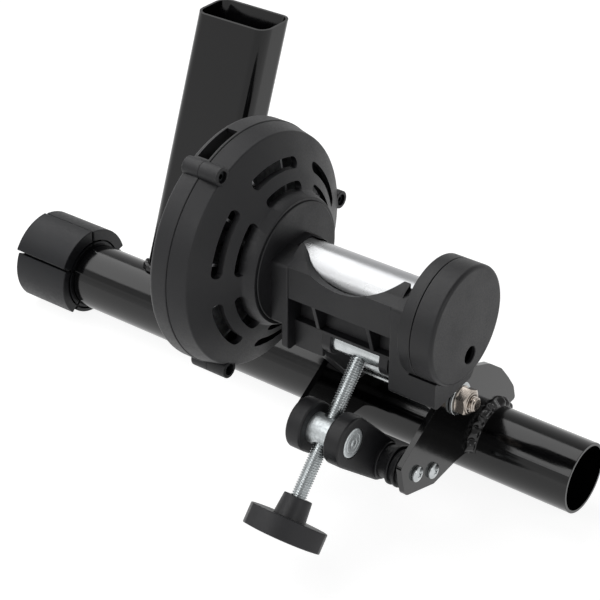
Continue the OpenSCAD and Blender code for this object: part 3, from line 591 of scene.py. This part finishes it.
yoke_parts.append(prism(lip, -31, 31))
for x in (-15.6, 16.2):
    yoke_parts.append(soften(prism([(-76.8, 97.35), (-72, 81.6), (-61, 81.65), (-61, 87.95),
                                    (-71.9, 97.35)], x - 1.1, x + 1.1), 0.25))
yoke_parts.append(soften(prism([(-71.7, 80.65), (-71.7, 66.25), (-69.3, 66.25),
                                (-69.3, 80.65)], -30.5, -12.9), 0.3))
print("guard faces:", len(yoke_parts[6].faces))

# %% Legs and ears of the yoke, and the finished moulding
leg = ([Vector((-69.4, 79.05)), Vector((-69.4, 68.05))] + arc(PIVOT, 11, 218.3, 398.3, 40)
       + [Vector((-47, 76.05)), Vector((-47, 86.05)), Vector((-57, 86.05))])
ear = ([Vector((-72, 80.65)), Vector((-53, 80.65))] + arc(TOP_PIN, 8, 0, -180, 32))
yoke_parts += [soften(prism(leg, -24.8, -16.8), 0.6), soften(prism(leg, 29.6, 37.6), 0.6),
               soften(prism(ear, -13, -7.8), 0.4), soften(prism(ear, 20.6, 25.8), 0.4)]
yoke = carve(yoke_parts[0], yoke_parts[1:], "UNION")
# The joined parts share one edge between four faces. It goes before the cuts are made, because
# with it they don't come out the same each run.
bmesh.ops.dissolve_degenerate(yoke, dist=0.002, edges=yoke.edges[:])
clip_room = box((16, 14.9, 12), (0, 1.55, 6))
cuts = [rod(ROLLER, 14.9, -35.35, 36.35, 144), rod(ROLLER, 11.05, -42.7, 42.7, 96),
        rod(ROLLER, 8, -43.1, 48, 64), rod(TOP_PIN, 6.05, -13.3, 26.1),
        rod(TOP_PIN, 6.8, -7.8, 20.6), turned(clip_room, SCREW_FRAME),
        rod(PIVOT, 4.05, -25.1, 37.9, 48)]
cuts += [rod(around(ROLLER, HUB_SCREW_R, at), 1.7, -43.1, -36.1, 24) for at in HUB_AT]
cuts += [rod(around(ROLLER, CAP_SCREW_R, at), 1.5, 40.5, 48, 24) for at in CAP_AT]
cuts += [rod(around(ROLLER, CAP_SCREW_R, at), 3.0, 35.5, 41.5, 24) for at in CAP_AT]
yoke = carve(yoke, cuts)
print("yoke's open edges:", sum(not edge.is_manifold for edge in yoke.edges))
show(yoke, "yoke_moulding", "unit", "yoke")

# %% [markdown]
# ## Screw fork
# Two arms hold the threaded pin and sit on a long bush between the bracket plates. The outer
# edges of the arms are well rounded, and a collar closes the gap between them on the bush.

# %% Screw fork
parts = [soften(prism(strap(LOW_PIN, 13.2, SCREW_ONE, 11), x, x + 9), 1.3, 5)
         for x in (-9.4, 13.2)]
parts.append(soften(prism(strap(SCREW_ONE, 8.6, SCREW_TWO, 7.6), -24.95, 37.75), 0.6))
parts.append(soften(prism(arc(SCREW_ONE, 9.8, 0, 354, 59), -10.8, 23.6), 0.5))
parts += [soften(prism(strap(SCREW_ONE, 10.2, SCREW_TWO, 9.2), x, x + 1.6), 0.4)
          for x in (28.6, 32.6)]
fork = carve(parts[0], parts[1:], "UNION")
cuts = [rod(LOW_PIN, 8.05, -11.4, 24.2)]
cuts += [rod(at, 2.05, x, x + 13, 24) for at in (SCREW_ONE, SCREW_TWO) for x in (-25.1, 24.9)]
show(carve(fork, cuts), "screw_fork_moulding", "base", "screw_fork")

# %% [markdown]
# ## Threads and bright hardware
# A thread is one pitch of its profile spun as a helix: the spin also moves a little along the
# axis at each step. Neighbouring turns share their points, which are merged, and both ends are
# cut square. The nut is a hexagon whose corners are turned off by a cone.

# %% Threads


def thread(root, crest, pitch, z0, z1, steps=24):
    """A threaded rod along Z, open at both ends until they are filled."""
    turns = math.ceil((z1 - z0) / pitch) + 2
    shape = bmesh.new()
    line = [shape.verts.new((r, 0, z0 - pitch + at * pitch))
            for r, at in ((root, 0), (root, 0.12), (crest, 0.44), (crest, 0.56), (root, 0.88),
                          (root, 1))]
    edges = [shape.edges.new(pair) for pair in zip(line, line[1:])]
    bmesh.ops.spin(shape, geom=line + edges, cent=(0, 0, 0), axis=(0, 0, 1),
                   dvec=(0, 0, pitch / steps), angle=2 * math.pi * turns, steps=steps * turns,
                   use_merge=False)
    bmesh.ops.remove_doubles(shape, verts=shape.verts, dist=0.003)
    for z, way in ((z0, -1), (z1, 1)):
        bmesh.ops.bisect_plane(shape, geom=shape.verts[:] + shape.edges[:] + shape.faces[:],
                               plane_co=(0, 0, z), plane_no=(0, 0, way), clear_outer=True,
                               dist=0.0005)
    bmesh.ops.holes_fill(shape, edges=[e for e in shape.edges if e.is_boundary], sides=0)
    bmesh.ops.recalc_face_normals(shape, faces=shape.faces)
    return shape


def tapered(shape, end, length, radius):
    """Draws the last length before an end along Z in to a cone that ends at a radius."""
    for vert in shape.verts:
        reach = radius + abs(end - vert.co.z) * 1.1
        across = math.hypot(vert.co.x, vert.co.y)
        if abs(end - vert.co.z) < length and across > reach:
            vert.co.x, vert.co.y = vert.co.x * reach / across, vert.co.y * reach / across
    return shape


# %% Adjusting screw
journal = lathe([(0, -5.6), (2.5, -5.6), (2.5, 5.35), (1.8, 5.35), (1.8, 6.45), (2.5, 6.45),
                 (2.5, 7.9), (2.2, 8.19), (0, 8.19)], (0, 0), 48)
parts = [turned(thread(*THREAD, -84.1, -5.4), SCREW_FRAME),
         turned(journal, SCREW_FRAME @ LATHE_TO_Z)]
show(pile(parts), "threaded_screw", "screw", "adjusting_screw", limit=28)

# %% Threaded cross pin with turned ends


def rings(x, way):
    """Half of a pin's profile: a turned end with a chamfer and fine rings."""
    line = [(0, x), (1.1, x), (1.3, x - way * 0.12), (2.9, x - way * 0.1), (3.1, x)]
    line += [(4.9, x), (5.05, x - way * 0.14), (5.25, x), (6.7, x - way * 0.04),
             (7.25, x - way * 0.12), (8, x - way * 0.8)]
    return line


pin = lathe(rings(-9.4, -1) + rings(22.2, 1)[::-1], LOW_PIN, 96)
bore = turned(rod((0, 0), 4.6, -64, -24, 64), SCREW_FRAME @ LATHE_TO_Z)
pin = show(carve(pin, [bore]), "cross_pin_turned", "nut_pin",
           "threaded_cross_pin")
pin.data.materials.append(turned_end)
for polygon in pin.data.polygons:
    if abs(polygon.normal.x) > 0.9:
        polygon.material_index = 1

# %% Bolt, nut and washers


def hexagon(across, x0, x1, chamfer_low, chamfer_high, turn=30):
    """A hexagon along X whose corners are turned off at 30 degrees at the chosen ends."""
    corner, rise = across / math.sqrt(3), math.tan(math.radians(30))
    shape = prism(arc(PIVOT, corner, turn, turn + 300, 5), x0, x1)
    slope = (corner - across / 2 * 0.93) * rise
    low = slope if chamfer_low else 0
    high = slope if chamfer_high else 0
    cone = lathe([(0, x0), (corner - low / rise, x0), (corner + 0.02, x0 + low),
                  (corner + 0.02, x1 - high), (corner - high / rise, x1), (0, x1)], PIVOT, 96)
    return carve(shape, [cone], "INTERSECT")


PIVOT_FRAME = Matrix.Translation((0, PIVOT.x, PIVOT.y)) @ Matrix.Rotation(math.radians(90), 4,
                                                                          "Y")
tip = tapered(thread(*THREAD, 38, 52.2, 32), 52.2, 1.0, 3.0)
shank = lathe([(0, -30.1), (4, -30.1), (4, 38.01), (0, 38.01)], PIVOT, 64)
parts = [turned(tip, PIVOT_FRAME), shank, hexagon(13, -35.3, -30, True, False)]
show(pile(parts), "pivot_bolt_threaded", "base", "pivot_bolt", limit=28)

flange = lathe(fillet([(3, 42.8, 0), (7.1, 42.8, 0.15), (7.1, 43.2, 0.15), (6.6, 43.6, 0),
                       (3, 43.6, 0)]), PIVOT, 96, closed=True)
collar = lathe(fillet([(3, 48.3, 0), (5.7, 48.3, 0), (5.5, 49.3, 0.4), (3, 49.3, 0)]), PIVOT, 64,
               closed=True)
nut = carve(hexagon(13, 43.2, 48.7, False, True), [flange, collar], "UNION")
hole = lathe([(0, 41.8), (4.05, 41.8), (4.05, 48.7), (4.7, 49.4), (4.7, 50.3), (0, 50.3)],
             PIVOT, 64)
show(carve(nut, [hole]), "pivot_nut_chamfered", "base", "pivot_nut")

parts = [soften(lathe([(4.05, x), (8.75, x), (8.75, x + 1.6), (4.05, x + 1.6)], PIVOT, 96,
                      closed=True), 0.3) for x in (41.05, -29.85)]
show(pile(parts), "pivot_washers_pressed", "base", "pivot_washers")

# %% Screws that hold the fork bush
heads = []
for at in (SCREW_ONE, SCREW_TWO):
    for face, way in WELD_SIDES:
        dome = [(4.15 * math.cos(math.radians(a)), 1.1 + 1.45 * math.sin(math.radians(a)))
                for a in range(0, 91, 9)]
        line = [(0, -12.0), (2, -12.0), (2, 0.15), (4.15, 0.15)] + dome
        head = lathe([(r, x) for r, x in line[:-1]] + [(0, 2.55)], (0, 0), 64)
        slots = []
        for turn in (20, 110):
            slot = box((2.4, 4.4, 0.85), (2.35, 0, 0))
            for vert in slot.verts:
                if vert.co.x < 2:
                    vert.co.y, vert.co.z = vert.co.y * 0.35, vert.co.z * 0.6
            slots.append(turned(slot, Matrix.Rotation(math.radians(turn), 4, "X")))
        head = carve(head, slots)
        bmesh.ops.scale(head, vec=(way, 1, 1), verts=head.verts)
        heads.append(turned(head, Matrix.Translation((face, at.x, at.y))))
show(pile(heads), "fork_screws_domed", "base", "fork_screws")

# %% [markdown]
# ## Knob
# The knob has three bulging sides that meet in ridges, a low domed face and a round neck. It is
# one outline extruded down the screw, whose far end is drawn in ring by ring and lowered to the
# dome.

# %% Knob
RIDGE_R, SIDE_R = 21.7, 19.1  # from the axis to a ridge and to the middle of a side
KNOB_TOP, KNOB_T, DOME = -88.8, 9.6, 1.8
FACE = KNOB_TOP - KNOB_T
bulge = SIDE_R - RIDGE_R * 0.5
chord = RIDGE_R * math.sin(math.radians(60))
curve = (chord ** 2 + bulge ** 2) / (2 * bulge)
half = math.degrees(math.asin(chord / curve))
outline = []
for at in (60, 180, 300):
    outline += arc(around((0, 0), curve - SIDE_R, at + 180), curve, at - half, at + half, 24)[:-1]

knob = bmesh.new()
face = knob.faces.new([knob.verts.new((x, y, KNOB_TOP)) for x, y in outline])
grown = bmesh.ops.extrude_face_region(knob, geom=[face])["geom"]
low = [v for v in grown if isinstance(v, bmesh.types.BMVert)]
bmesh.ops.translate(knob, vec=(0, 0, -KNOB_T), verts=low)
bmesh.ops.delete(knob, geom=[f for f in grown if isinstance(f, bmesh.types.BMFace)],
                 context="FACES_ONLY")
ring = [e for e in knob.edges if e.is_boundary]
for shrink in (0.94, 0.85, 0.8, 0.7, 0.6, 0.4):
    grown = bmesh.ops.extrude_edge_only(knob, edges=ring)["geom"]
    verts = [v for v in grown if isinstance(v, bmesh.types.BMVert)]
    ring = [e for e in grown if isinstance(e, bmesh.types.BMEdge)]
    bmesh.ops.scale(knob, vec=(shrink, shrink, 1), verts=verts)
bmesh.ops.pointmerge(knob, verts=verts, merge_co=(0, 0, FACE))
for vert in knob.verts:
    if vert.co.z < -95:
        vert.co.z = FACE - DOME * math.sqrt(max(0, 1 - (vert.co.xy.length
                                                        / (RIDGE_R + 1)) ** 2))
bmesh.ops.recalc_face_normals(knob, faces=knob.faces)
soften(knob, 0.45, 3, 25)
neck = lathe(fillet([(0, -78.1, 0), (7.3, -78.1, 0.5), (8.4, -89.3, 0), (0, -89.3, 0)]), (0, 0),
             72)
knob = turned(carve(knob, [turned(neck, LATHE_TO_Z)], "UNION"), SCREW_FRAME)
bore = turned(rod((0, 0), 4.05, -84.25, -60, 48), SCREW_FRAME @ LATHE_TO_Z)
show(carve(knob, [bore]), "knob_moulding", "screw", "knob")

# %% [markdown]
# ## Foot cap
# The soft cap on the end of the crossbar has five flats at different heights. Turning it sets
# the stand level on an uneven floor. Each flat is its own block, and grooves part them.

# %% Foot cap
steps = ((27.85, 15, 85), (28.6, 88, 149), (26.1, 152, 222), (23.6, 225, 297),
         (25.6, 300, 372))
parts = [soften(prism(arc((0, 0), 15, start, stop, 24) + arc((0, 0), radius, stop, start, 24),
                      FOOT_LEFT, FOOT_RIGHT), 0.6) for radius, start, stop in steps]
parts.append(lathe(fillet([(14, FOOT_LEFT + 1, 0), (22.4, FOOT_LEFT + 1, 0.4),
                           (22.4, FOOT_RIGHT - 1, 0.4), (14, FOOT_RIGHT - 1, 0)]), (0, 0), 128,
                   closed=True))
foot = carve(parts[0], parts[1:], "UNION")
cuts = [lathe([(0, -270.5), (19.1, -270.5), (19.1, -230), (0, -230)], (0, 0), 128),
        rod((0, 0), 15.05, -280, -270, 96),
        lathe([(20.45, -238.5), (21.55, -238.5), (21.55, -230), (20.45, -230)], (0, 0), 128,
              closed=True)]
show(carve(foot, cuts), "foot_cap_moulding", "foot", "foot_cap")

# %% [markdown]
# ## Bracket plates
# The two plates are cut from sheet steel and deburred, so their edges are only slightly broken.
# Each one saddles the crossbar and has holes for the pivot bolt and the two fork screws.

# %% Bracket plates
corners = [(-39.8, 53.9, 5), (-80.7, 27.7, 2.5), (-76.5, 8.7, 6), (-50.3, 0.9, 3),
           (-31.6, 3.2, 3), (-20.05, 3, 0), (0, 0, 0), (17.45, 10.6, 0), (25.8, 11.2, 1.6),
           (23.2, 20.4, 9), (17, 29.2, 12), (9.6, 38.4, 12), (-3, 48, 14), (-16, 53.2, 16)]
for side, x in (("right", PLATE_R), ("left", PLATE_L)):
    plate = carve(prism(fillet(corners, 10), x, x + PLATE_T),
                  [rod((0, 0), BAR_R + 0.15, x - 1, x + 4, 160), rod(PIVOT, 4.05, x - 1, x + 4),
                   rod(SCREW_ONE, 2.55, x - 1, x + 4, 32),
                   rod(SCREW_TWO, 2.55, x - 1, x + 4, 32)])
    show(soften(plate, 0.5, 3, 40), f"bracket_plate_{side}_cut", "base",
         f"bracket_plate_{side}")

# %% [markdown]
# ## Tubes
# The crossbar is a welded tube. The seam of the weld is rolled almost flat, but its thin line
# still shows under the gloss paint. The upright is a flat-sided tube cut to a saddle where it
# meets the crossbar.

# %% Crossbar
SEAM_FROM = FOOT_RIGHT + 2  # the foot cap turns on the bar, so the seam starts clear of it
SEAM_AT, SEAM_RISE = 148, 1.009
BREAK = 0.2
bar = lathe([(BAR_BORE, BAR_LEFT), (BAR_R - BREAK, BAR_LEFT), (BAR_R, BAR_LEFT + BREAK),
             (BAR_R, SEAM_FROM - 1), (BAR_R, SEAM_FROM), (BAR_R, BAR_RIGHT - BREAK),
             (BAR_R - BREAK, BAR_RIGHT), (BAR_BORE, BAR_RIGHT)], (0, 0), 180, closed=True)
for vert in bar.verts:
    turn = math.degrees(math.atan2(vert.co.z, vert.co.y))
    if abs(turn - SEAM_AT) < 0.6 and vert.co.yz.length > 19 and vert.co.x > SEAM_FROM - 0.5:
        vert.co.y, vert.co.z = vert.co.y * SEAM_RISE, vert.co.z * SEAM_RISE
show(bar, "crossbar_tube", "base", "crossbar")

# %% Upright


def section(grow, z0, z1):
    """The flat tube's outline, grown by some millimetres, extruded along Z."""
    w, t, r = 25 + grow, 12.2 + grow, 7 + grow
    line = fillet([(-w, -t, r), (w, -t, r), (w, t, r), (-w, t, r)], 14)
    return extruded([(x, y, z0) for x, y in line], (0, 0, z1 - z0))


UPRIGHT_X, LEAN = -170.6, math.radians(20.6)
UPRIGHT_FRAME = (Matrix.Translation((UPRIGHT_X, 12.2 / math.cos(LEAN)
                                     - 19.6 * math.tan(LEAN), 0))
                 @ Matrix.Rotation(-LEAN, 4, "X"))
above = box((400, 400, 400), (UPRIGHT_X, 0, 360))
tube = carve(turned(section(0, 0, 320), UPRIGHT_FRAME),
             [turned(section(-1.5, -1, 321), UPRIGHT_FRAME),
              rod((0, 0), BAR_R + 0.15, -220, -120, 180), above])
show(tube, "upright_tube", "base", "upright")

# %% [markdown]
# ## Weld beads
# A weld bead is a row of small overlapping pools. A fillet is spun round the bar where the
# plates meet it, finely divided, and then lifted and sunk in the rhythm of the pools. The bead
# round the upright is the CAD bead remeshed evenly and lifted in the same rhythm.

# %% Weld beads at the bracket plates


def pools(along, spacing, seed):
    """Height of a row of weld pools between 0 and 1."""
    shifted = along / spacing + 0.35 * noise.noise((along / spacing * 0.7, seed, 0))
    return 1 - abs(2 * (shifted - math.floor(shifted)) - 1) ** 1.6


beads = []
for x, way in WELD_SIDES:
    line = [(19.08, x - way * 0.1), (23.0, x - way * 0.1), (23.05, x + way * 0.3)]
    line += [(19.1 + 3.9 * (1 - math.sin(math.radians(a))) + 0.9 * math.sin(math.radians(2 * a)),
              x + way * (0.3 + 3.7 * (1 - math.cos(math.radians(a)))
                         + 0.9 * math.sin(math.radians(2 * a)))) for a in range(10, 90, 10)]
    line += [(19.35, x + way * 4.1), (19.08, x + way * 4.1)]
    bead = lathe(line, (0, 0), 280, 32.3, 138.9, closed=True)
    for vert in bead.verts:
        radius = vert.co.yz.length
        turn = math.degrees(math.atan2(vert.co.z, vert.co.y)) % 360
        lift = pools(math.radians(turn) * 20, 6.6, way) - 0.5
        out = min(1, max(0, (radius - 19.3) / 1.2)) * min(1, max(0, way * (vert.co.x - x) / 1.0))
        rough = noise.noise(vert.co * 0.35)
        vert.co.x += way * out * (1.5 * lift + 0.5 * rough)
        grow = 1 + out * (1.1 * lift + 0.4 * rough) / radius
        vert.co.y, vert.co.z = vert.co.y * grow, vert.co.z * grow
    beads.append(bead)
show(pile(beads), "bracket_weld_beads", "base", "bracket_welds", limit=60)

# %% Weld bead round the upright
bead = bmesh.new()
bead.from_mesh(nodes["upright_weld"].data)
bmesh.ops.remove_doubles(bead, verts=bead.verts, dist=0.000004)
bmesh.ops.scale(bead, vec=(1000, 1000, 1000), verts=bead.verts)
mesh = bpy.data.meshes.new("bead")
bead.to_mesh(mesh)
bead.free()
lump = bpy.data.objects.new("bead", mesh)
bpy.context.scene.collection.objects.link(lump)
even = lump.modifiers.new("even", "REMESH")
even.mode, even.voxel_size = "VOXEL", 0.55
bpy.context.view_layer.update()
bead = bmesh.new()
bead.from_object(lump, bpy.context.evaluated_depsgraph_get())
bpy.data.objects.remove(lump)
bead.normal_update()
middle = sum((v.co for v in bead.verts), Vector()) / len(bead.verts)
for vert in bead.verts:
    along = math.atan2(vert.co.y - middle.y, (vert.co.x - middle.x) * 0.5) * 22
    lift = 0.9 * pools(along, 5.5, 5) - 0.4 + 0.3 * noise.noise(vert.co * 0.4)
    vert.co += vert.normal * lift
for _ in range(2):
    bmesh.ops.smooth_vert(bead, verts=bead.verts, factor=0.5, use_axis_x=True,
                          use_axis_y=True, use_axis_z=True)
show(bead, "upright_weld_bead", "base", "upright_weld", limit=80)

# %% [markdown]
# ## Roller
# The roller is turned from solid aluminium and polished, with a small chamfer at both ends. A
# fine step in the spin keeps its highlight smooth.

# %% Roller
roller = lathe([(4.02, -35.2), (13.3, -35.2), (14.1, -34.4), (14.1, 35.4), (13.3, 36.2),
                (4.02, 36.2)], ROLLER, 160, closed=True)
show(roller, "roller_turned", "rotor", "roller", limit=25)

# %% [markdown]
# ## Light, floor and background
# The photo is a studio shot on white: a big soft light above on the left, weaker ones in front
# and on the right, and a white floor and backdrop under a dark ceiling. The camera sees white
# all round, and reflections see the backdrop grow dark towards the ceiling, which keeps gloss
# black black. The fill light that the room gives to matte surfaces is kept low.

# %% Studio


def area_light(name, place, size, power):
    """A rectangular soft light that looks at the middle of the picture."""
    lamp = bpy.data.lights.new(name, "AREA")
    lamp.shape, lamp.size, lamp.size_y, lamp.energy = "RECTANGLE", size[0], size[1], power
    thing = bpy.data.objects.new(name, lamp)
    thing.location = place
    thing.rotation_euler = (TARGET - Vector(place)).to_track_quat("-Z", "Y").to_euler()
    bpy.context.scene.collection.objects.link(thing)


area_light("top softbox", (-0.62, -0.05, 0.98), (1.3, 1.0), 8.5)
area_light("front softbox", (-0.3, -0.95, 0.8), (0.7, 0.5), 2.4)
area_light("right softbox", (0.95, -0.3, 0.62), (0.4, 0.4), 1.3)


def room_strength(tree, seen, lit, mirrored=None):
    """Strength for rays that show the room, for reflections, and for the light it gives."""
    ray = add(tree, "ShaderNodeLightPath")
    shown = add(tree, "ShaderNodeMath", {0: ray.outputs["Is Camera Ray"],
                                         1: ray.outputs["Is Transmission Ray"]},
                operation="ADD", use_clamp=True)
    matte = add(tree, "ShaderNodeMapRange", {"Value": ray.outputs["Is Glossy Ray"], 3: lit,
                                             4: mirrored or seen})
    return add(tree, "ShaderNodeMapRange", {"Value": shown.outputs[0], 3: matte.outputs[0],
                                            4: seen})


world = bpy.data.worlds.new("white studio")
world.use_nodes = True
bpy.context.scene.world = world
tree = world.node_tree
tree.nodes.clear()
height = add(tree, "ShaderNodeSeparateXYZ",
             {0: add(tree, "ShaderNodeTexCoord").outputs["Generated"]}).outputs["Z"]
ceiling = add(tree, "ShaderNodeMapRange", {"Value": height, 1: 0.05, 2: 0.75, 3: 0.9, 4: 0.4})
sky = add(tree, "ShaderNodeBackground",
          {"Color": (1, 1, 1, 1),
           "Strength": room_strength(tree, 1.0, 0.1, ceiling.outputs[0]).outputs[0]})
add(tree, "ShaderNodeOutputWorld", {"Surface": sky.outputs[0]})

floor_shape = bmesh.new()
bmesh.ops.create_grid(floor_shape, x_segments=1, y_segments=1, size=6)
bmesh.ops.translate(floor_shape, vec=(0, 0, cad_box[0].z - 0.2 * MM), verts=floor_shape.verts)
floor = bpy.data.objects.new("floor", bpy.data.meshes.new("floor"))
floor_shape.to_mesh(floor.data)
floor_shape.free()
bpy.context.scene.collection.objects.link(floor)

paper = bpy.data.materials.new("white_paper")
paper.use_nodes = True
tree = paper.node_tree
tree.nodes.clear()
matte = add(tree, "ShaderNodeBsdfDiffuse", {"Color": linear("#9a9a9a")})
glow = add(tree, "ShaderNodeEmission",
           {"Color": (1, 1, 1, 1), "Strength": room_strength(tree, 0.9, 0.0).outputs[0]})
both = add(tree, "ShaderNodeAddShader", {0: matte.outputs[0], 1: glow.outputs[0]})
add(tree, "ShaderNodeOutputMaterial", {"Surface": both.outputs[0]})
floor.data.materials.append(paper)
